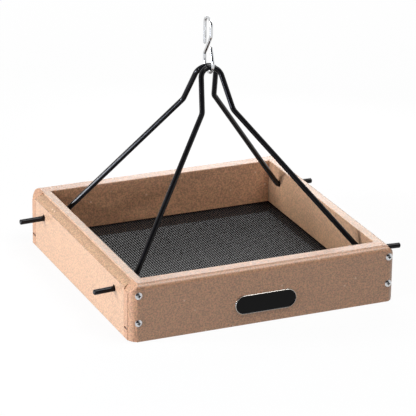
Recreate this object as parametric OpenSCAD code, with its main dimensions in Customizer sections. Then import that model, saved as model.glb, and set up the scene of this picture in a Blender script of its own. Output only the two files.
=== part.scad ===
// Hanging platform feeder: a square tray of four boards around a screen floor,
// carried by two bent wire hangers that meet in one S-hook.
// Millimetres, +Z up, origin under the middle of the tray. The front board faces -Y.

/* [Tray] */
// Width of the tray over the side boards
tray_w = 330; // [260:1:420]
// Depth of the tray over the front and back boards
tray_d = 330; // [280:1:420]
// Height of the boards
tray_h = 68.5; // [62:0.5:100]
// Thickness of the boards
board_t = 20; // [17:0.5:26]
// Chamfer that eases the inner edges of the rim
inner_ease = 0.6; // [0.2:0.1:1.5]
// Chamfer on the side boards' upright edges, where they meet the other two
seam_ease = 0.5; // [0.2:0.1:1]

/* [Rounded edges of the front and back boards] */
// Radius of the long upper edge
rim_r = 6; // [3:0.5:9]
// Small step that this rounding leaves beside each face
rim_step = 0.3; // [0:0.1:1]
// Width of the rounding on the top at each end of the board
end_across = 10.5; // [6:0.5:14]
// Height of that rounding on the end
end_down = 11.4; // [6:0.1:14]
// Width of the upright rounding on the outer face
corner_across = 7.9; // [5:0.1:12]
// Width of the upright rounding on the end
corner_back = 9.1; // [5:0.1:12]
// Small step beside the roundings at the ends
end_step = 0.5; // [0:0.1:1]
// Radius of the shallow curve at the ends
end_r = 30; // [16:1:60]
// Radius of the curve of the upright roundings
corner_r = 14; // [10:1:40]

/* [Rounded edges of the side boards] */
// Width of the rounding on the top
side_across = 10.2; // [6:0.1:14]
// Height of the rounding on the outer face
side_down = 8; // [5:0.5:12]
// Depth of the step that it leaves in the top
side_step = 2.4; // [0:0.1:4]
// Width of the ledge that it leaves at the outer face
side_ledge = 0.9; // [0:0.1:2]
// Radius of the shallow curve between them
side_r = 24; // [12:1:60]

/* [Screen floor] */
// Height of the underside of the groove that holds the screen
groove_z = 11.3; // [6:0.1:16]
// Height of the groove
groove_h = 3; // [2:0.1:3.5]
// Depth of the groove
groove_depth = 9.5; // [6:0.5:12]
// Thickness of the screen
screen_t = 1.5; // [0.8:0.1:1.9]
// Gap between the screen's edge and the end of the groove
screen_fit = 1; // [0.3:0.1:3]
// Spacing of the slits in the screen
slit_pitch = 3.1; // [2.8:0.1:8]
// Width of one slit
slit_w = 2.1; // [0.8:0.1:2.4]

/* [Hangers] */
// Diameter of the hanger wire
wire_d = 6.4; // [3:0.1:6.5]
// Diameter of the holes in the side boards
hole_d = 8; // [7.9:0.1:9]
// Height of the holes
hole_z = 47.5; // [40:0.5:54]
// Distance of the holes from the middle of the tray, front and back
hole_y = 115; // [80:1:118]
// Length of wire that stands out of the side boards
wire_out = 27.5; // [12:0.5:40]
// Angle at which the outer ends of the wire droop
end_droop = 2; // [0:0.1:2.5]
// Shift of these ends to the side: to the right in front, to the left behind
end_shift = 2.7; // [0:0.1:6]
// Place of the top of the hangers to the side of the middle
apex_x = -2.5; // [-6:0.5:6]
// Half the distance between the two legs at the upper bends
knee_x = 19.5; // [17:0.5:30]
// Height of the upper bends
knee_z = 208.5; // [150:0.5:222]
// Height of the top of the hangers
hanger_top_z = 254.5; // [242:0.5:340]
// Radius of the bend at the top of a hanger
top_bend_r = 13; // [8:0.1:14]
// Radius of the bends beside the side boards
foot_bend_r = 8; // [6:0.5:9]
// Radius of the upper bends
knee_bend_r = 12; // [6:0.5:20]
// Gap between the two wires where they lie side by side
wire_gap = 0.3; // [0.2:0.1:1]
// Chamfer on the cut ends of the wires
wire_ease = 0.7; // [0.3:0.1:1]

/* [Hook] */
// Diameter of the hook's wire
hook_wire_d = 4; // [3:0.1:4.5]
// Overall height of the hook
hook_h = 69; // [66:1:90]
// Radius of the lower loop at the middle of the wire
lower_loop_r = 12; // [11:0.1:14]
// Radius of the upper loop at the middle of the wire
upper_loop_r = 9; // [7.5:0.1:10]
// Room between the lower loop and the wires that it carries
loop_gap = 0.35; // [0.3:0.05:1]
// Length of the straight end of the upper loop
tail_l = 25; // [14:0.5:27]
// Straight length between the upper loop and the shank
neck_l = 10; // [4:0.5:11]
// Slant of the shank between the two loops
shank_angle = 36.5; // [34:0.5:46]
// Radius of the two bends of the shank
shank_bend_r = 6; // [5:0.5:8]
// Angle at which the lower loop's free end leans in
tip_angle = 21; // [16:1:22]
// Length of that free end
tip_l = 17; // [12:0.5:18]

/* [Fasteners and name plate] */
// Diameter of a screw head
head_d = 8.5; // [7:0.1:10]
// Height of a screw head
head_h = 2.4; // [1.8:0.1:3.2]
// Height of the straight side of a screw head
head_side_h = 0.8; // [0.5:0.1:1.2]
// Diameter of a screw's shank
shank_d = 4.2; // [3.5:0.1:5]
// Length of a screw under its head
screw_l = 38; // [30:1:45]
// Distance of the screws from the ends of the front and back boards
screw_in = 9.5; // [8:0.1:11]
// Height of the lower screws
screw_low_z = 23; // [18:0.5:28]
// Height of the upper screws
screw_high_z = 56; // [50:0.5:56]
// Length of the name plate
plate_l = 76; // [50:1:100]
// Height of the name plate
plate_h = 23; // [14:0.5:28]
// Thickness of the name plate at its rim
plate_t = 1.8; // [1:0.1:2]
// Width of the raised rim
plate_rim = 1.1; // [0.6:0.1:2]
// Height of the middle of the name plate
plate_z = 25; // [20:0.5:34]

/* [Hidden] */

$fn = 48;
wire_fn = 24;
lap = 0.2;
swell = 0.02;

half_w = tray_w / 2;
half_d = tray_d / 2;
inner_w = tray_w - 2 * board_t;
inner_d = tray_d - 2 * board_t;

// Rounded edges: where each curve starts and ends beside the two faces it joins.
rim_from = [rim_r + rim_step, rim_step];
rim_to = [rim_step, rim_r + rim_step];
end_from = [end_across, end_step];
end_to = [end_step, end_down];
corner_from = [corner_across, end_step];
corner_to = [end_step, corner_back];
side_from = [side_down, side_ledge];
side_to = [side_step, side_across];

// Screen: it lies on the lower side of the groove and reaches into all four boards.
screen_reach = groove_depth - screen_fit;
screen_w = inner_w + 2 * screen_reach;
screen_d = inner_d + 2 * screen_reach;
slit_end = 1;
slit_side = 3;
max_slits = 116;
slit_l = inner_d - 2 * slit_end;
slit_n = min(max_slits, floor((inner_w - 2 * slit_side) / slit_pitch));

// Hangers: each one is bent flat and leans inwards. Its wire lies in the middle of the
// holes where it leaves them, and its feet are a little higher and further in.
foot_in = 1.5;
rest_gap = 0.05;
foot_x = half_w - board_t - foot_in;
droop_at_face = (board_t + foot_in) * tan(end_droop);
rest_z = hole_z - hole_d / 2 + wire_d / 2 + rest_gap;
top_y = wire_d / 2 + wire_gap / 2;
lean = atan2(hole_y - top_y, hanger_top_z - rest_z);
foot_y = hole_y - droop_at_face * sin(lean);
foot_z = rest_z + droop_at_face * cos(lean);
leaning_top = (hanger_top_z - foot_z) / cos(lean);
leaning_knee = (knee_z - foot_z) / cos(lean);
// The legs above the knees run into the top bend as tangents of its circle.
top_centre = leaning_top - top_bend_r;
knee_to_centre = sqrt(pow(knee_x, 2) + pow(top_centre - leaning_knee, 2));
leg_angle = atan2(top_centre - leaning_knee, knee_x) + asin(top_bend_r / knee_to_centre);
leg_meet = leaning_knee + knee_x * tan(leg_angle);

// Hook: its lower loop goes round both wires, and it swings about that loop's centre.
loop_bore_r = lower_loop_r - hook_wire_d / 2;
wire_reach = loop_bore_r - wire_d / 2 - loop_gap;
swing_z = hanger_top_z + sqrt(pow(wire_reach, 2) - pow(top_y, 2));
hook_bottom = swing_z - lower_loop_r - hook_wire_d / 2;
hook_top = hook_bottom + hook_h;
upper_z = hook_top - hook_wire_d / 2 - upper_loop_r;
shank_l = (2 * upper_loop_r - 2 * shank_bend_r * (1 - cos(shank_angle))) / sin(shank_angle);
shank_h = 2 * shank_bend_r * sin(shank_angle) + shank_l * cos(shank_angle);
shoulder_l = upper_z - swing_z - neck_l - shank_h;

// Screws: a clearance hole through the outer board and a pilot hole in the end grain.
screw_hole_d = shank_d + 0.6;
pilot_d = shank_d + 0.1;
drive_w = 1.1;
drive_l = 4.2;
drive_core_d = 2.4;
drive_floor_z = head_h / 3;
dome_h = head_h - head_side_h;
dome_r = (pow(head_d / 2, 2) + pow(dome_h, 2)) / (2 * dome_h);

// Angle from the direction u to the direction v, positive to the left.
function turn(u, v) = atan2(u[0] * v[1] - u[1] * v[0], u[0] * v[0] + u[1] * v[1]);

// Length taken from both legs of a corner by a bend of radius r.
function bend_cut(pts, r, i) =
    (i == 0 || i == len(pts) - 1) ? 0
    : r[i] * tan(abs(turn(pts[i] - pts[i - 1], pts[i + 1] - pts[i])) / 2);

// Steps of a wire that passes the corners pts with the bend radii r.
function steps_through(pts, r) =
    [for (i = [0 : len(pts) - 2])
        [norm(pts[i + 1] - pts[i]) - bend_cut(pts, r, i) - bend_cut(pts, r, i + 1),
         i == len(pts) - 2 ? 0 : turn(pts[i + 1] - pts[i], pts[i + 2] - pts[i + 1]),
         r[i + 1]]];

// Straight piece of wire along +Z, with a chamfer on each end that is cut.
module straight_wire(l, d, cut_before, cut_after) {
    low = cut_before ? wire_ease : 0;
    high = cut_after ? wire_ease : 0;
    rotate_extrude($fn = wire_fn)
        polygon([[0, 0], [d / 2 - low, 0], [d / 2, low],
                 [d / 2, l - high], [d / 2 - high, l], [0, l]]);
}

// Bent wire in the XZ plane that starts at the origin along +X. Each step is a straight
// length, the angle of the bend after it (upwards is positive) and the bend's radius.
// The bends are a hair fatter than the straights, which run a little way into them.
module bent_wire(steps, d, i = 0) {
    l = steps[i][0];
    angle = steps[i][1];
    bend_r = steps[i][2];
    lap_before = i == 0 ? 0 : lap;
    lap_after = angle == 0 ? 0 : lap;
    translate([-lap_before, 0, 0])
        rotate([0, 90, 0])
            straight_wire(l + lap_before + lap_after, d, i == 0, angle == 0);
    if (angle != 0)
        translate([l, 0, 0])
            mirror([0, 0, angle < 0 ? 1 : 0]) {
                translate([0, 0, bend_r])
                    rotate([90, 0, 0])
                        rotate([0, 0, -90])
                            rotate_extrude(angle = abs(angle), $fn = 96)
                                translate([bend_r, 0])
                                    circle(d = d + 2 * swell, $fn = wire_fn);
                translate([bend_r * sin(abs(angle)), 0, bend_r * (1 - cos(angle))])
                    rotate([0, -abs(angle), 0])
                        mirror([0, 0, angle < 0 ? 1 : 0])
                            bent_wire(steps, d, i + 1);
            }
}

// What a round-over takes off an edge that runs along +Z from the origin, where the
// board's material lies towards +X and +Y. Its curve has the radius r and joins two points,
// one beside the face y = 0 and one beside the face x = 0.
module edge_waste(l, from, to, r) {
    half = norm(to - from) / 2;
    inwards = [to[1] - from[1], from[0] - to[0]] / (2 * half);
    centre = (from + to) / 2 + inwards * sqrt(pow(r, 2) - pow(half, 2));
    translate([0, 0, -1])
        linear_extrude(l + 2)
            difference() {
                translate([-1, -1])
                    square([from[0] + 1, to[1] + 1]);
                translate(centre)
                    circle(r, $fn = 180);
            }
}

// What eases the inner top edge, at y = 0, over the length l along X.
module ease_waste(l) {
    side = inner_ease * sqrt(2);
    translate([0, 0, tray_h])
        rotate([45, 0, 0])
            cube([l, side, side], center = true);
}

// Long slot for the screen along X, cut into the face at y = 0 towards +Y.
module groove(l) {
    translate([-l / 2, -1, groove_z])
        cube([l, groove_depth + 1, groove_h]);
}

// Board that covers the ends of the side boards, with its inner face at y = 0
// and its outer face towards +Y.
module end_board() {
    difference() {
        translate([-half_w, 0, 0])
            cube([tray_w, board_t, tray_h]);
        for (s = [0, 1])
            mirror([s, 0, 0])
                translate([half_w, board_t, 0])
                    rotate([0, 0, 180]) {
                        edge_waste(tray_h, corner_from, corner_to, corner_r);
                        translate([0, 0, tray_h])
                            rotate([-90, 0, 0])
                                edge_waste(board_t, end_from, end_to, end_r);
                    }
        translate([half_w, board_t, tray_h])
            rotate([0, -90, 0])
                rotate([0, 0, 180])
                    edge_waste(tray_w, rim_from, rim_to, rim_r);
        ease_waste(inner_w);
        groove(tray_w + 2);
        for (x = [-1, 1], z = [screw_low_z, screw_high_z])
            translate([x * (half_w - screw_in), -1, z])
                rotate([-90, 0, 0])
                    cylinder(d = screw_hole_d, h = board_t + 2);
    }
}

// Board between the front and back boards, with its inner face at y = 0
// and its outer face towards +Y.
module side_board_blank() {
    difference() {
        translate([-inner_d / 2, 0, 0])
            cube([inner_d, board_t, tray_h]);
        translate([inner_d / 2, board_t, tray_h])
            rotate([0, -90, 0])
                rotate([0, 0, 180])
                    edge_waste(inner_d, side_from, side_to, side_r);
        for (s = [0, 1])
            mirror([s, 0, 0])
                translate([inner_d / 2, board_t, tray_h / 2])
                    rotate([0, 0, 45])
                        cube([seam_ease * sqrt(2), seam_ease * sqrt(2), tray_h + 2], center = true);
        ease_waste(inner_d + 2);
        groove(inner_d + 2);
        for (x = [-1, 1])
            translate([x * hole_y, -1, hole_z])
                rotate([-90, 0, 0])
                    cylinder(d = hole_d, h = board_t + 2);
        for (s = [0, 1], z = [screw_low_z, screw_high_z])
            mirror([s, 0, 0])
                translate([inner_d / 2 + 1, board_t - screw_in, z])
                    rotate([0, -90, 0])
                        cylinder(d = pilot_d, h = screw_l - board_t + 3);
    }
}

module front_board() {
    color("#9c7c64")
        mirror([0, 1, 0])
            translate([0, inner_d / 2, 0])
                end_board();
}

module back_board() {
    color("#9c7c64")
        translate([0, inner_d / 2, 0])
            end_board();
}

module left_board() {
    color("#a98a72")
        rotate([0, 0, 90])
            translate([0, inner_w / 2, 0])
                side_board_blank();
}

module right_board() {
    color("#a98a72")
        rotate([0, 0, -90])
            translate([0, inner_w / 2, 0])
                side_board_blank();
}

module screen_floor() {
    color("#2e2d30")
        translate([0, 0, groove_z])
            linear_extrude(screen_t)
                difference() {
                    square([screen_w, screen_d], center = true);
                    for (i = [0 : slit_n - 1])
                        translate([(i - (slit_n - 1) / 2) * slit_pitch, 0])
                            square([slit_w, slit_l], center = true);
                }
}

// Hanger with its feet at z = 0 and its outer ends shifted along X.
module hanger(shift) {
    left_x = -half_w - wire_out + shift;
    right_x = half_w + wire_out + shift;
    left_z = (left_x + foot_x) * tan(end_droop);
    right_z = (foot_x - right_x) * tan(end_droop);
    left = [[left_x, left_z], [-foot_x, 0], [apex_x - knee_x, leaning_knee]];
    right = [[apex_x + knee_x, leaning_knee], [foot_x, 0], [right_x, right_z]];
    radii = [0, foot_bend_r, knee_bend_r, top_bend_r, knee_bend_r, foot_bend_r, 0];
    translate([left_x, 0, left_z])
        rotate([0, -end_droop, 0])
            bent_wire(steps_through(concat(left, [[apex_x, leg_meet]], right), radii), wire_d);
}

module front_hanger() {
    color("#1c1b1d")
        translate([0, -foot_y, foot_z])
            rotate([-lean, 0, 0])
                hanger(end_shift);
}

module back_hanger() {
    color("#1c1b1d")
        translate([0, foot_y, foot_z])
            rotate([lean, 0, 0])
                hanger(-end_shift);
}

// The hook starts at the free end of its upper loop, behind, and ends at the tip in front.
module hanging_hook() {
    steps = [[tail_l, 180, upper_loop_r],
             [neck_l, shank_angle, shank_bend_r],
             [shank_l, -shank_angle, shank_bend_r],
             [shoulder_l, -180 - tip_angle, lower_loop_r],
             [tip_l, 0, 0]];
    color("#d5d6d8")
        translate([apex_x, lower_loop_r, upper_z - tail_l])
            rotate([0, 0, 90])
                rotate([0, -90, 0])
                    bent_wire(steps, hook_wire_d);
}

module stadium(l, h) {
    union() {
        square([l - h, h], center = true);
        for (s = [-1, 1])
            translate([s * (l - h) / 2, 0])
                circle(d = h);
    }
}

module name_plate() {
    color("#17161a")
        translate([0, -half_d, plate_z])
            rotate([90, 0, 0])
                difference() {
                    linear_extrude(plate_t)
                        stadium(plate_l, plate_h);
                    translate([0, 0, plate_t / 2])
                        linear_extrude(plate_t)
                            stadium(plate_l - 2 * plate_rim, plate_h - 2 * plate_rim);
                }
}

// Pan-head screw that points along -Z, with the underside of its head at z = 0.
module screw() {
    point_l = shank_d;
    rotate_extrude()
        polygon([[0, -screw_l],
                 [shank_d / 2, -screw_l + point_l],
                 [shank_d / 2, lap],
                 [0, lap]]);
    difference() {
        intersection() {
            cylinder(d = head_d, h = head_h);
            translate([0, 0, head_h - dome_r])
                sphere(dome_r);
        }
        for (a = [0, 90])
            rotate([0, 0, a])
                translate([-drive_l / 2, -drive_w / 2, drive_floor_z])
                    cube([drive_l, drive_w, head_h]);
        translate([0, 0, drive_floor_z])
            cylinder(d1 = drive_w, d2 = drive_core_d, h = head_h - drive_floor_z + lap);
    }
}

// Four screws of one board, heads towards +Y.
module screw_set() {
    for (x = [-1, 1], z = [screw_low_z, screw_high_z])
        translate([x * (half_w - screw_in), half_d, z])
            rotate([-90, 0, 0])
                screw();
}

module front_screws() {
    color("#c9cacd")
        mirror([0, 1, 0])
            screw_set();
}

module back_screws() {
    color("#c9cacd")
        screw_set();
}

front_board();
back_board();
left_board();
right_board();
screen_floor();
front_hanger();
back_hanger();
hanging_hook();
name_plate();
front_screws();
back_screws();
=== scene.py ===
import math

import bpy
import numpy as np
from mathutils import Matrix, Vector


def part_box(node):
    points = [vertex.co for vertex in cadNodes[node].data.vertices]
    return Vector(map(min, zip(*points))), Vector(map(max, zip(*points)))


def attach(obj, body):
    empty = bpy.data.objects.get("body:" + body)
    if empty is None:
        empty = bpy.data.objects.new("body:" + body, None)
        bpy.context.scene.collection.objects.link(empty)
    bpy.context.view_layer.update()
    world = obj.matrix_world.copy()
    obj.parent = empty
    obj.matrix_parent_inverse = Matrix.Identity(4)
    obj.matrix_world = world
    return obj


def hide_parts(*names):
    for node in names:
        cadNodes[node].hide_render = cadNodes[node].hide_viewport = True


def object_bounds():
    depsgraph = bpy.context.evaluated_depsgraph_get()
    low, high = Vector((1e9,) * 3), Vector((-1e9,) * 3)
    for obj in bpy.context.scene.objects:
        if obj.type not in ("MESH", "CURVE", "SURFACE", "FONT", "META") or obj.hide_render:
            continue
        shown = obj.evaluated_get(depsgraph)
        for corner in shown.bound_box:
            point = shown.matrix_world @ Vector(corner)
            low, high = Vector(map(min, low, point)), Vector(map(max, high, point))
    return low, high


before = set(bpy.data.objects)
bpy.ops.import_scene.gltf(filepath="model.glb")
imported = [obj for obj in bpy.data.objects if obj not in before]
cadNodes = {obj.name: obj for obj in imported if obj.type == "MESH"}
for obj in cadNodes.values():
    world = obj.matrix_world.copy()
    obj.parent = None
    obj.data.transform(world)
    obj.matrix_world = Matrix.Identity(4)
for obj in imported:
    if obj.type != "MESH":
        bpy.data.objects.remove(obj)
cadLow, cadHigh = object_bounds()
print("frame: loaded", len(cadNodes), "nodes of the feeder")


# Camera: a long lens, a little to the left of the front board and above the rim
cameraLook = {
    "azimuth": 23.62,  # degrees to the left of straight on
    "elevation": 21.41,
    "roll": 0.8,
    "distance": 3.11326,  # metres
    "target": (-0.00082, 0, 0.07848),
    "lens": 228.2,
    "sensor": 36,
    "reach": 50,
}


def makeCamera(look):
    a = math.radians(look["azimuth"])
    e = math.radians(look["elevation"])
    r = math.radians(look["roll"])
    back = Vector((-math.sin(a) * math.cos(e), -math.cos(a) * math.cos(e), math.sin(e)))
    level = (-back).cross(Vector((0, 0, 1))).normalized()
    upright = level.cross(-back)
    right = level * math.cos(r) + upright * math.sin(r)
    up = upright * math.cos(r) - level * math.sin(r)
    data = bpy.data.cameras.new("feederCamera")
    data.lens = look["lens"]
    data.sensor_width = look["sensor"]
    data.clip_end = look["reach"]
    camera = bpy.data.objects.new("feederCamera", data)
    bpy.context.collection.objects.link(camera)
    turn = Matrix((right, up, back)).transposed().to_4x4()
    place = Vector(look["target"]) + back * look["distance"]
    camera.matrix_world = Matrix.Translation(place) @ turn
    bpy.context.scene.camera = camera


makeCamera(cameraLook)
bpy.context.scene.view_settings.view_transform = "Standard"
print("camera: set")


# Small helpers for node trees
def addNode(tree, kind, inputs=None, **settings):
    made = tree.nodes.new(kind)
    for name, value in settings.items():
        setattr(made, name, value)
    for name, value in (inputs or {}).items():
        socket = made.inputs[name]
        if isinstance(value, bpy.types.NodeSocket):
            tree.links.new(value, socket)
        else:
            socket.default_value = value
    return made


def addMath(tree, operation, a, b=0.0, clamp=False):
    made = addNode(tree, "ShaderNodeMath", {0: a, 1: b}, operation=operation, use_clamp=clamp)
    return made.outputs[0]


def addVectorMath(tree, operation, inputs):
    return addNode(tree, "ShaderNodeVectorMath", inputs, operation=operation)


def splitAxes(tree, vector):
    return addNode(tree, "ShaderNodeSeparateXYZ", {"Vector": vector}).outputs


def mixColour(tree, factor, a, b, blend="MIX"):
    sockets = {0: factor, 6: a, 7: b}
    made = addNode(tree, "ShaderNodeMix", sockets, data_type="RGBA", blend_type=blend)
    return made.outputs[2]


def remap(tree, value, fromLow, fromHigh, toLow=0.0, toHigh=1.0):
    sockets = {
        "Value": value,
        "From Min": fromLow,
        "From Max": fromHigh,
        "To Min": toLow,
        "To Max": toHigh,
    }
    return addNode(tree, "ShaderNodeMapRange", sockets).outputs[0]


def addNoise(tree, where, scale, detail=2.0, roughness=0.5):
    sockets = {"Vector": where, "Scale": scale, "Detail": detail, "Roughness": roughness}
    return addNode(tree, "ShaderNodeTexNoise", sockets).outputs[0]


def objectPlace(tree, output="Object"):
    return addNode(tree, "ShaderNodeTexCoord").outputs[output]


def opaque(colour):
    return (*colour, 1.0)


def newMaterial(name):
    material = bpy.data.materials.new(name)
    material.use_nodes = True
    tree = material.node_tree
    return material, tree, tree.nodes["Principled BSDF"], objectPlace(tree)


# A colour that turns to a share of itself where the noise is high
def setPatchyColour(tree, shader, noise, span, colour, share):
    other = opaque([c * share for c in colour])
    mixed = mixColour(tree, remap(tree, noise, *span), opaque(colour), other)
    tree.links.new(mixed, shader.inputs["Base Color"])


def setRoughness(tree, shader, noise, span, least, most):
    tree.links.new(remap(tree, noise, *span, least, most), shader.inputs["Roughness"])


def setBump(tree, shader, height, strength, distance):
    sockets = {"Height": height, "Strength": strength, "Distance": distance}
    bump = addNode(tree, "ShaderNodeBump", sockets).outputs[0]
    tree.links.new(bump, shader.inputs["Normal"])


def dress(nodeNames, material):
    for nodeName in nodeNames:
        node = cadNodes[nodeName]
        if not node.material_slots:
            node.data.materials.append(material)
        for slot in node.material_slots:
            slot.material = material


def addMesh(name, points, faces, materials):
    mesh = bpy.data.meshes.new(name)
    mesh.from_pydata(points, [], faces)
    for material in materials:
        mesh.materials.append(material)
    mesh.validate()
    mesh.polygons.foreach_set("use_smooth", [True] * len(mesh.polygons))
    piece = bpy.data.objects.new(name, mesh)
    bpy.context.collection.objects.link(piece)
    return piece


# Boards: speckled tan lumber of recycled plastic, drawn along its length
boardLook = {
    "dark": (0.22, 0.105, 0.05),
    "light": (0.745, 0.378, 0.203),
    "rosy": (1.03, 0.975, 0.985),
    "khaki": (0.97, 1.025, 0.955),
    "tintScale": 340,
    "mottleScale": 45,
    "mottleShare": 0.05,
    "speckleScale": 520,
    "speckleShare": 0.62,
    "grainScale": 1000,
    "grainShare": 0.25,
    "streakScale": 9,
    "streakPinch": 45,
    "streakShare": 0.08,
    "chip": (0.82, 0.6, 0.42),
    "chipScale": 150,
    "chipRim": (0.22, 0.12),
    "chipPick": 0.93,  # cells above this hold a chip
    "chipShare": 0.7,
    "paintedShade": (0.1, 0.052, 0.028),  # painted shade, down in the steps, seams and round the holes
    "shadeReach": 0.0018,
    "shadeSpan": (0.8, 0.35),
    "roughness": 0.42,
    "gloss": 1.0,
    "dust": 0.3,  # sheen, which whitens the boards where they are seen at a slant
    "dustRoughness": 0.6,
    "cutTone": (0.83, 0.86, 0.89),  # sawn and routed faces, which have lost the smooth skin
    "cutGloss": 0.5,
    "cutDust": 0.1,
    "cutWidth": 0.0098,
    "cutDepth": 0.0082,
    "cutBlur": 0.0002,
    "sawnSpan": (0.25, 0.6),
    "sawnShare": 0.7,
    "relief": 0.35,
    "reliefDepth": 0.0004,
    "reliefStreaks": 0.6,
}


# The end boards show their sawn ends, which face sideways
def findSawnEnds(tree, look):
    sideways = splitAxes(tree, objectPlace(tree, "Normal"))[0]
    return remap(tree, addMath(tree, "ABSOLUTE", sideways), *look["sawnSpan"], 0, look["sawnShare"])


# The side boards have a routed strip along their upper outer edge
def findRoutedEdges(tree, look):
    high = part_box("right_board")[1]
    place = splitAxes(tree, objectPlace(tree))
    inner, foot = high.x - look["cutWidth"], high.z - look["cutDepth"]
    blur = look["cutBlur"]
    outward = remap(tree, addMath(tree, "ABSOLUTE", place[0]), inner - blur, inner + blur)
    return addMath(tree, "MULTIPLY", outward, remap(tree, place[2], foot - blur, foot + blur))


# Each kind of board sets how strong the painted shade in its crevices is
boardKinds = {
    "endBoardFinish": {
        "boards": ("front_board", "back_board"),
        "grainAxis": 0,
        "paintedLightCast": (1, 0.99, 0.95),
        "deepestShade": 0.15,
        "findCut": findSawnEnds,
    },
    "sideBoardFinish": {
        "boards": ("left_board", "right_board"),
        "grainAxis": 1,
        # painted light: the side boards are painted paler than the end boards, which stands in for
        # the pale haze of reflected light on the lit left face
        "paintedLightCast": (1, 1.1, 1.08),
        "deepestShade": 0.75,
        "findCut": findRoutedEdges,
    },
}


def makeBoardMaterial(name, kind, look):
    material, tree, shader, where = newMaterial(name)
    cut = kind["findCut"](tree, look)
    pinch = [look["streakPinch"]] * 3
    pinch[kind["grainAxis"]] = 1
    along = addNode(tree, "ShaderNodeMapping", {"Vector": where, "Scale": pinch}).outputs[0]
    streaks = addNoise(tree, along, look["streakScale"], 3, 0.6)
    mottle = addNoise(tree, where, look["mottleScale"])
    speckle = addNoise(tree, where, look["speckleScale"], 2, 0.6)
    grain = addNoise(tree, where, look["grainScale"])
    tint = addNoise(tree, where, look["tintScale"])

    # From dark to light by four noises
    tone = addMath(tree, "ADD", remap(tree, mottle, 0.3, 0.7, 0, look["mottleShare"]),
                   remap(tree, speckle, 0.36, 0.64, 0, look["speckleShare"]))
    tone = addMath(tree, "ADD", tone, remap(tree, grain, 0.3, 0.7, 0, look["grainShare"]))
    tone = addMath(tree, "ADD", tone, remap(tree, streaks, 0.3, 0.7, 0, look["streakShare"]),
                   clamp=True)
    colour = mixColour(tree, tone, opaque(look["dark"]), opaque(look["light"]))
    hue = remap(tree, tint, 0.38, 0.62)
    hue = mixColour(tree, hue, opaque(look["rosy"]), opaque(look["khaki"]))
    colour = mixColour(tree, 1.0, colour, hue, "MULTIPLY")
    # Painted light: each kind's colour cast, paler on the side boards
    colour = mixColour(tree, 1.0, colour, opaque(kind["paintedLightCast"]), "MULTIPLY")
    colour = mixColour(tree, cut, colour, opaque(look["cutTone"]), "MULTIPLY")

    # A few pale chips
    cells = addNode(tree, "ShaderNodeTexVoronoi", {"Vector": where, "Scale": look["chipScale"]})
    near = remap(tree, cells.outputs["Distance"], *look["chipRim"])
    pick = addNode(tree, "ShaderNodeSeparateColor", {"Color": cells.outputs["Color"]}).outputs[0]
    chosen = addMath(tree, "GREATER_THAN", pick, look["chipPick"])
    chosen = addMath(tree, "MULTIPLY", chosen, look["chipShare"])
    colour = mixColour(tree, addMath(tree, "MULTIPLY", near, chosen), colour, opaque(look["chip"]))

    # Painted shade where faces meet closely: the colour darkens in steps, seams and round the holes
    crevice = addNode(tree, "ShaderNodeAmbientOcclusion", {"Distance": look["shadeReach"]},
                      samples=8)
    shadeShare = remap(tree, crevice.outputs["AO"], *look["shadeSpan"], 0, kind["deepestShade"])
    colour = mixColour(tree, shadeShare, colour, opaque(look["paintedShade"]))
    tree.links.new(colour, shader.inputs["Base Color"])

    setRoughness(tree, shader, speckle, (0.3, 0.7), look["roughness"] - 0.05,
                 look["roughness"] + 0.1)
    tree.links.new(remap(tree, cut, 0, 1, look["gloss"], look["cutGloss"]),
                   shader.inputs["Specular IOR Level"])
    tree.links.new(remap(tree, cut, 0, 1, look["dust"], look["cutDust"]),
                   shader.inputs["Sheen Weight"])
    shader.inputs["Sheen Roughness"].default_value = look["dustRoughness"]
    ridges = addMath(tree, "MULTIPLY", streaks, look["reliefStreaks"])
    height = addMath(tree, "ADD", speckle, ridges)
    setBump(tree, shader, height, look["relief"], look["reliefDepth"])
    return material


for finishName, kind in boardKinds.items():
    dress(kind["boards"], makeBoardMaterial(finishName, kind, boardLook))
print("boards: speckled lumber on four boards")


# Screen: black coated wires, woven over and under each other
screenLook = {
    "pitch": 0.0031,
    "wire": 0.00095,
    "sides": 6,
    "colour": (0.005, 0.0045, 0.0053),
    "wornShare": 1.8,
    "wornScale": 60,
    "roughness": 0.24,
    "gloss": 0.1,
    "coatScale": 2200,
}


def makeScreenMaterial(look):
    material, tree, shader, where = newMaterial("screenCoat")
    patches = addNoise(tree, where, look["wornScale"], 3)
    setPatchyColour(tree, shader, patches, (0.35, 0.65), look["colour"], look["wornShare"])
    shader.inputs["Roughness"].default_value = look["roughness"]
    shader.inputs["Specular IOR Level"].default_value = look["gloss"]
    setBump(tree, shader, addNoise(tree, where, look["coatScale"]), 0.2, 0.0001)
    return material


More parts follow.
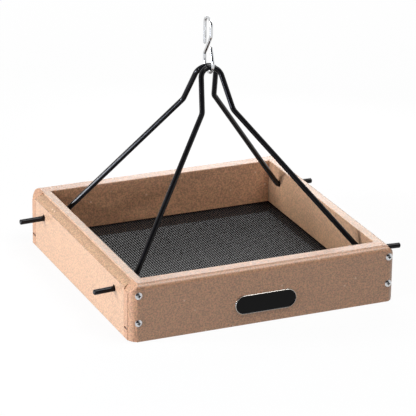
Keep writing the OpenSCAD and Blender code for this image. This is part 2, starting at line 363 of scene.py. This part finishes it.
def weaveWires(name, acrossX, look, material):
    low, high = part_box("screen_floor")
    span = (high.x - low.x) / 2
    radius = look["wire"] / 2
    sides = look["sides"]
    count = int((2 * span - look["wire"]) / look["pitch"]) + 1
    index = np.arange(count)
    over = (-1.0) ** index
    lane = (index - (count - 1) / 2) * look["pitch"]

    # One ring at each crossing, and one at each end
    stations = np.concatenate([[-span], lane, [span]])
    wave = np.concatenate([[-1], over, [-over[-1]]])
    rise = np.outer(over, wave) * radius * (1 if acrossX else -1)
    angle = np.arange(sides) / sides * 2 * math.pi
    shape = (count, count + 2, sides)
    side = np.broadcast_to(lane[:, None, None] + radius * np.cos(angle)[None, None, :], shape)
    along = np.broadcast_to(stations[None, :, None], shape)
    # The lowest wires lie on the groove's floor, where the sheet's own lower face is
    height = low.z + 2 * radius + rise[:, :, None] + radius * np.sin(angle)[None, None, :]
    order = (along, side, height) if acrossX else (side, along, height)
    points = np.stack(order, axis=-1).reshape(-1, 3)

    ring = np.arange(sides)
    wireStart = (index * (count + 2))[:, None]
    start = (wireStart + np.arange(count + 1)[None, :]).reshape(-1, 1) * sides
    here, there = start + ring, start + sides + ring
    quads = np.stack([here, np.roll(here, -1, 1), np.roll(there, -1, 1), there], axis=-1)
    quads = quads.reshape(-1, 4)
    first = wireStart * sides + ring
    last = first + (count + 1) * sides
    caps = [c[::-1] for c in first.tolist()] + last.tolist()
    if not acrossX:
        quads = quads[:, ::-1]
        caps = [c[::-1] for c in caps]
    piece = addMesh(name, points.tolist(), quads.tolist() + caps, [material])
    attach(piece, "feeder")
    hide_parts("screen_floor")
    print("screen:", name, count, "wires")


screenCoat = makeScreenMaterial(screenLook)
weaveWires("screen_warp", False, screenLook, screenCoat)
weaveWires("screen_weft", True, screenLook, screenCoat)


# Hangers: black powder coat on thick wire
hangerLook = {
    "colour": (0.004, 0.0038, 0.0045),
    "scuffShare": 2,
    "scuffScale": 50,
    "roughness": 0.09,
    "gloss": 0.17,
    "peelScale": 700,
}


def makeHangerMaterial(look):
    material, tree, shader, where = newMaterial("hangerCoat")
    scuffs = addNoise(tree, where, look["scuffScale"], 3)
    setPatchyColour(tree, shader, scuffs, (0.4, 0.75), look["colour"], look["scuffShare"])
    setRoughness(tree, shader, scuffs, (0.35, 0.7), look["roughness"] - 0.04,
                 look["roughness"] + 0.08)
    shader.inputs["Specular IOR Level"].default_value = look["gloss"]
    setBump(tree, shader, addNoise(tree, where, look["peelScale"]), 0.12, 0.0002)
    return material


dress(("front_hanger", "back_hanger"), makeHangerMaterial(hangerLook))
print("hangers: powder coat")


# Hook: bright zinc on bent wire
hookLook = {
    "colour": (0.66, 0.67, 0.68),
    "roughness": 0.12,
    "spangleScale": 260,
    "dullShare": 0.72,
}


def makeZincMaterial(name, look):
    material, tree, shader, where = newMaterial(name)
    spangle = addNoise(tree, where, look["spangleScale"], 3, 0.6)
    setPatchyColour(tree, shader, spangle, (0.4, 0.75), look["colour"], look["dullShare"])
    shader.inputs["Metallic"].default_value = 1
    setRoughness(tree, shader, spangle, (0.3, 0.7), look["roughness"] - 0.05,
                 look["roughness"] + 0.1)
    setBump(tree, shader, addNoise(tree, where, look["spangleScale"] * 3), 0.08, 0.0002)
    return material


dress(("hanging_hook",), makeZincMaterial("hookZinc", hookLook))
print("hook: bright zinc")


# Screws: zinc pan heads, with painted shade down in the drive
screwLook = {
    "colour": (0.64, 0.64, 0.65),
    "roughness": 0.22,
    "spangleScale": 500,
    "dullShare": 0.72,
    # painted shade down in the drive
    "paintedShade": (0.006, 0.0055, 0.005),
    "driveRadius": 0.0026,
    "driveShare": 0.75,  # how far up the head the painted shade goes
    "driveFade": 0.2,
}


# The heads are the widest things in each set of four, so they give the screws' axes
def screwAxes(low, high):
    points = np.array([v.co for v in cadNodes["front_screws"].data.vertices])
    right = points[points[:, 0] > 0]
    split = (low.z + high.z) / 2
    upper = right[right[:, 2] > split]
    lower = right[right[:, 2] <= split]
    middles = [(part.min() + part.max()) / 2 for part in (right[:, 0], lower[:, 2], upper[:, 2])]
    return [float(m) for m in middles]


def makeScrewMaterial(look):
    material = makeZincMaterial("screwZinc", look)
    tree = material.node_tree
    shader = tree.nodes["Principled BSDF"]
    low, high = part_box("front_screws")
    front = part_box("front_board")[0].y
    headHeight = front - low.y
    axisX, axisLow, axisHigh = screwAxes(low, high)

    # How far each point lies from the axis of its own screw
    place = splitAxes(tree, objectPlace(tree))
    sideways = addMath(tree, "SUBTRACT", addMath(tree, "ABSOLUTE", place[0]), axisX)
    middle = (axisLow + axisHigh) / 2
    upDown = addMath(tree, "ABSOLUTE", addMath(tree, "SUBTRACT", place[2], middle))
    upDown = addMath(tree, "SUBTRACT", upDown, (axisHigh - axisLow) / 2)
    squares = addMath(tree, "ADD", addMath(tree, "MULTIPLY", sideways, sideways),
                      addMath(tree, "MULTIPLY", upDown, upDown))
    reach = addMath(tree, "SQRT", squares)
    inDrive = remap(tree, reach, look["driveRadius"] * 1.05, look["driveRadius"] * 0.9)
    depth = addMath(tree, "SUBTRACT", addMath(tree, "ABSOLUTE", place[1]), abs(front))
    isDeep = remap(tree, depth, headHeight * look["driveShare"],
                   headHeight * (look["driveShare"] - look["driveFade"]))
    # Painted shade: the zinc turns almost black down in the drive
    driveShade = addMath(tree, "MULTIPLY", inDrive, isDeep)
    zinc = shader.inputs["Base Color"].links[0].from_socket
    tree.links.new(mixColour(tree, driveShade, zinc, opaque(look["paintedShade"])), shader.inputs["Base Color"])
    return material


dress(("front_screws", "back_screws"), makeScrewMaterial(screwLook))
print("screws: zinc heads")


# Name plate: a gloss black oval field, a little domed, with a bright edge; bare of any mark
plateLook = {
    "rim": 0.0011,
    "groove": 0.0005,
    "dome": 0.0004,
    "domeRings": 8,
    "corner": 0.0006,
    "cornerRings": 3,
    "lip": 0.0002,
    "heart": 0.0003,  # half the height of the flat oval at the dome's middle
    "arcSteps": 24,
    "field": (0.005, 0.005, 0.0055),
    "fieldRoughness": 0.12,
    "fieldGloss": 0.1,
    "rimColour": (0.62, 0.59, 0.54),
    "rimRoughness": 0.25,
    "tarnishShare": 0.7,
}


def makePlateMaterials(look):
    field, tree, shader, where = newMaterial("plateField")
    shader.inputs["Base Color"].default_value = opaque(look["field"])
    setRoughness(tree, shader, addNoise(tree, where, 90, 3), (0.3, 0.7), look["fieldRoughness"],
                 look["fieldRoughness"] + 0.12)
    shader.inputs["Specular IOR Level"].default_value = look["fieldGloss"]
    setBump(tree, shader, addNoise(tree, where, 400), 0.05, 0.0002)

    rim, tree, shader, where = newMaterial("plateRim")
    tarnish = addNoise(tree, where, 300, 3)
    setPatchyColour(tree, shader, tarnish, (0.4, 0.7), look["rimColour"], look["tarnishShare"])
    shader.inputs["Metallic"].default_value = 1
    shader.inputs["Roughness"].default_value = look["rimRoughness"]
    return field, rim


def ovalLoop(halfLength, radius, steps):
    straight = halfLength - radius
    for end, shift in ((0, straight), (1, -straight)):
        for i in range(steps + 1):
            angle = -math.pi / 2 + math.pi * (end + i / steps)
            yield shift + radius * math.cos(angle), radius * math.sin(angle)


# Each ring says how far in from the edge and how far off the board it lies
def plateRings(look, thick, halfHeight):
    rim, corner, lip = look["rim"], look["corner"], look["lip"]
    rings = [(0, 0), (0, thick - corner)]
    for i in range(1, look["cornerRings"] + 1):
        angle = math.pi / 2 * i / look["cornerRings"]
        rings.append((corner * (1 - math.cos(angle)), thick - corner * (1 - math.sin(angle))))
    wallRings = len(rings) - 1
    foot = thick - look["groove"] - look["dome"]
    rings += [(rim - lip, thick), (rim, thick - lip), (rim, foot)]
    deepest = halfHeight - rim - look["heart"]
    for i in range(1, look["domeRings"] + 1):
        share = i / look["domeRings"]
        rings.append((rim + deepest * share, foot + look["dome"] * math.sin(share * math.pi / 2)))
    return rings, wallRings


def makeNamePlate(look):
    low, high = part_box("name_plate")
    middle = (low + high) / 2
    halfLength, halfHeight = (high.x - low.x) / 2, (high.z - low.z) / 2
    rings, wallRings = plateRings(look, high.y - low.y, halfHeight)
    points, faces, parts = [], [], []
    for inset, height in rings:
        for u, v in ovalLoop(halfLength - inset, halfHeight - inset, look["arcSteps"]):
            points.append((middle.x + u, high.y - height, middle.z + v))
    size = 2 * (look["arcSteps"] + 1)
    for r in range(len(rings) - 1):
        for i in range(size):
            j = (i + 1) % size
            faces.append((r * size + i, r * size + j, (r + 1) * size + j, (r + 1) * size + i))
            parts.append(1 if r < wallRings else 0)
    faces.append([(len(rings) - 1) * size + i for i in range(size)])
    faces.append(list(reversed(range(size))))
    parts += [0, 1]
    piece = addMesh("name_plate_oval", points, faces, makePlateMaterials(look))
    piece.data.polygons.foreach_set("material_index", parts)
    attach(piece, "feeder")
    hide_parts("name_plate")


makeNamePlate(plateLook)
print("name plate: domed field with a bright edge")


# Stage: a pale floor under white surroundings
stageLook = {
    "floorSize": 9,
    "floorDrop": 0.0002,
    "floorColour": (0.4, 0.4, 0.4),
    "floorPale": (1, 1, 1),  # as the camera sees it
    "floorWhite": 0.91,  # share of the floor's white that shadows leave
    "fade": (0.35, 1.2),  # from where to where the shadows fade out
    "under": (0.145, 0.165),  # below the tray, where the screen's gaps show the floor
    "underWhite": 0.56,  # share of the floor's white that is left there
    "ambient": 0.0,
    "darkWay": (-0.37, -0.85, 0.37),
    "darkSpan": (0.45, 0.8),
    "shade": 0.02,  # how bright the dark side of the room is in reflections
}


# What the camera sees, straight or by a reflection
def addSeen(tree, path):
    seen = addMath(tree, "ADD", path["Is Camera Ray"], path["Is Glossy Ray"])
    return addMath(tree, "ADD", seen, path["Is Transmission Ray"], clamp=True)


def makeFloor(look):
    half = look["floorSize"] / 2
    corners = [(-half, -half, 0), (half, -half, 0), (half, half, 0), (-half, half, 0)]
    material = bpy.data.materials.new("floorPaper")
    material.use_nodes = True
    tree = material.node_tree
    tree.nodes.clear()
    place = splitAxes(tree, addVectorMath(tree, "ABSOLUTE", {0: objectPlace(tree)}).outputs[0])
    reach = addMath(tree, "MAXIMUM", place[0], place[1])
    seen = addSeen(tree, addNode(tree, "ShaderNodeLightPath").outputs)
    seen = addMath(tree, "MULTIPLY", seen,
                   remap(tree, reach, *look["under"], look["underWhite"], 1.0))
    paperColour = mixColour(tree, seen, opaque(look["floorColour"]), opaque(look["floorPale"]))
    paper = addNode(tree, "ShaderNodeBsdfDiffuse", {"Color": paperColour}).outputs[0]
    white = addNode(tree, "ShaderNodeEmission", {"Strength": 1.0}).outputs[0]
    share = addMath(tree, "MULTIPLY", seen,
                    remap(tree, reach, *look["fade"], look["floorWhite"], 1.0))
    mixed = addNode(tree, "ShaderNodeMixShader", {0: share, 1: paper, 2: white}).outputs[0]
    addNode(tree, "ShaderNodeOutputMaterial", {"Surface": mixed})
    floor = addMesh("floor", corners, [(0, 1, 2, 3)], [material])
    floor.location.z = cadLow.z - look["floorDrop"]


def makeWorld(look):
    world = bpy.data.worlds.new("whiteRoom")
    bpy.context.scene.world = world
    world.use_nodes = True
    tree = world.node_tree
    tree.nodes.clear()
    path = addNode(tree, "ShaderNodeLightPath").outputs
    # In reflections the room is dark towards the front, so that wires and plate turn black there
    way = objectPlace(tree, "Generated")
    toDark = addVectorMath(tree, "DOT_PRODUCT", {0: way, 1: look["darkWay"]}).outputs[1]
    level = remap(tree, toDark, *look["darkSpan"], 1.0, look["shade"])
    level = addMath(tree, "MAXIMUM", level, path["Is Camera Ray"])
    white = opaque((1, 1, 1))
    around = addNode(tree, "ShaderNodeBackground", {"Color": white, "Strength": look["ambient"]})
    visible = addNode(tree, "ShaderNodeBackground", {"Color": white, "Strength": level})
    mixed = addNode(tree, "ShaderNodeMixShader", {
        0: addSeen(tree, path), 1: around.outputs[0], 2: visible.outputs[0]})
    addNode(tree, "ShaderNodeOutputWorld", {"Surface": mixed.outputs[0]})


makeFloor(stageLook)
makeWorld(stageLook)


# Lamps: a small key from the front left, boxes on the left, a wide one overhead, weak ones behind
trayMiddle = (0, 0, 0.05)
lampLook = {
    "key": {"from": (-1.83, -0.82, 0.85), "size": (0.16, 0.16), "power": 9.5},
    "lowBox": {"from": (-1.25, -0.1, 0.13), "size": (0.8, 0.24), "power": 13,
               "tint": (0.92, 1.01, 1.24)},
    "leftBox": {"from": (-1.3, 0.3, 0.36), "size": (0.3, 0.2), "power": 9.5},
    "overFront": {"from": (0.5, -0.5, 1.45), "size": (0.9, 0.9), "power": 17},
    "backRight": {"from": (0.6, 1.15, 0.75), "size": (1.0, 0.6), "power": 5},
    "backNear": {"from": (0.3, 0.5, 0.24), "aim": (0.05, 0.15, 0.07), "size": (0.5, 0.12),
                 "power": 0.75},
}


def makeLamp(name, look):
    data = bpy.data.lights.new(name, "AREA")
    data.color = look.get("tint", (1, 1, 1))
    data.shape = "RECTANGLE"
    data.size, data.size_y = look["size"]
    data.energy = look["power"]
    lamp = bpy.data.objects.new(name, data)
    bpy.context.collection.objects.link(lamp)
    lamp.location = look["from"]
    lamp.visible_camera = False
    way = Vector(look.get("aim", trayMiddle)) - Vector(look["from"])
    lamp.rotation_euler = way.to_track_quat("-Z", "Y").to_euler()


for lampName, look in lampLook.items():
    makeLamp(lampName, look)
print("stage: floor, room and lamps")
